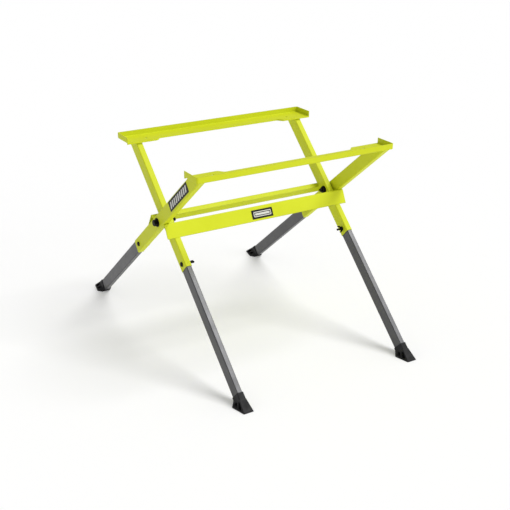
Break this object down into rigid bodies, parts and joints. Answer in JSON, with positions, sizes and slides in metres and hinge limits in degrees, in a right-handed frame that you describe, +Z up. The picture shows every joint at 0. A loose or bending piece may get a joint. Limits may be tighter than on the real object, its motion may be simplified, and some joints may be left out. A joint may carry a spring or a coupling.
{
  "type": "folding table saw stand",
  "caption": "Folding X-leg stand for a benchtop table saw: two pivoting tube frames, tray-like top rails with saw bolt holes, bent crossbars and moulded feet.",
  "frame": {"origin": "on the floor, at the centre of the bounding box of the opened stand", "axes": "+Z up, +Y towards the rear top rail, +X to the right along the pivot axis"},
  "size_m": [0.654, 0.972, 0.6076],
  "materials": {
    "lime_paint": "smooth semi-gloss powder coat, yellow-green",
    "grey_paint": "satin grey powder coat",
    "foot_plastic": "moulded black plastic, fine texture",
    "black_hardware": "black oxide",
    "badge_black": "printed film, black with plain pale bars"
  },
  "bodies": {
    "inner_frame": {"rear_top_rail": "lime_paint", "front_crossbar": "lime_paint", "badge_plate": "badge_black", "inner_arm_left": "lime_paint", "inner_bush_left": "black_hardware", "pivot_bolt_left": "black_hardware", "pivot_washer_left": "black_hardware", "pivot_spacer_left": "black_hardware", "pivot_nut_left": "black_hardware", "front_leg_left": "grey_paint", "front_foot_left": "foot_plastic", "front_leg_bolt_left": "black_hardware", "front_leg_nut_left": "black_hardware", "inner_arm_right": "lime_paint", "inner_bush_right": "black_hardware", "pivot_bolt_right": "black_hardware", "pivot_washer_right": "black_hardware", "pivot_spacer_right": "black_hardware", "pivot_nut_right": "black_hardware", "front_leg_right": "grey_paint", "front_foot_right": "foot_plastic", "front_leg_bolt_right": "black_hardware", "front_leg_nut_right": "black_hardware"},
    "outer_frame": {"front_top_rail": "lime_paint", "rear_crossbar": "lime_paint", "arm_label": "badge_black", "outer_arm_left": "lime_paint", "outer_bush_left": "black_hardware", "rear_leg_left": "grey_paint", "rear_foot_left": "foot_plastic", "rear_leg_bolt_left": "black_hardware", "rear_leg_nut_left": "black_hardware", "outer_arm_right": "lime_paint", "outer_bush_right": "black_hardware", "rear_leg_right": "grey_paint", "rear_foot_right": "foot_plastic", "rear_leg_bolt_right": "black_hardware", "rear_leg_nut_right": "black_hardware"}
  },
  "joints": [
    {"name": "fold", "type": "hinge", "parent": "inner_frame", "child": "outer_frame", "pos_m": [0, -0.02492, 0.398], "axis": [-1, 0, 0], "range_deg": [0, 84]}
  ]
}
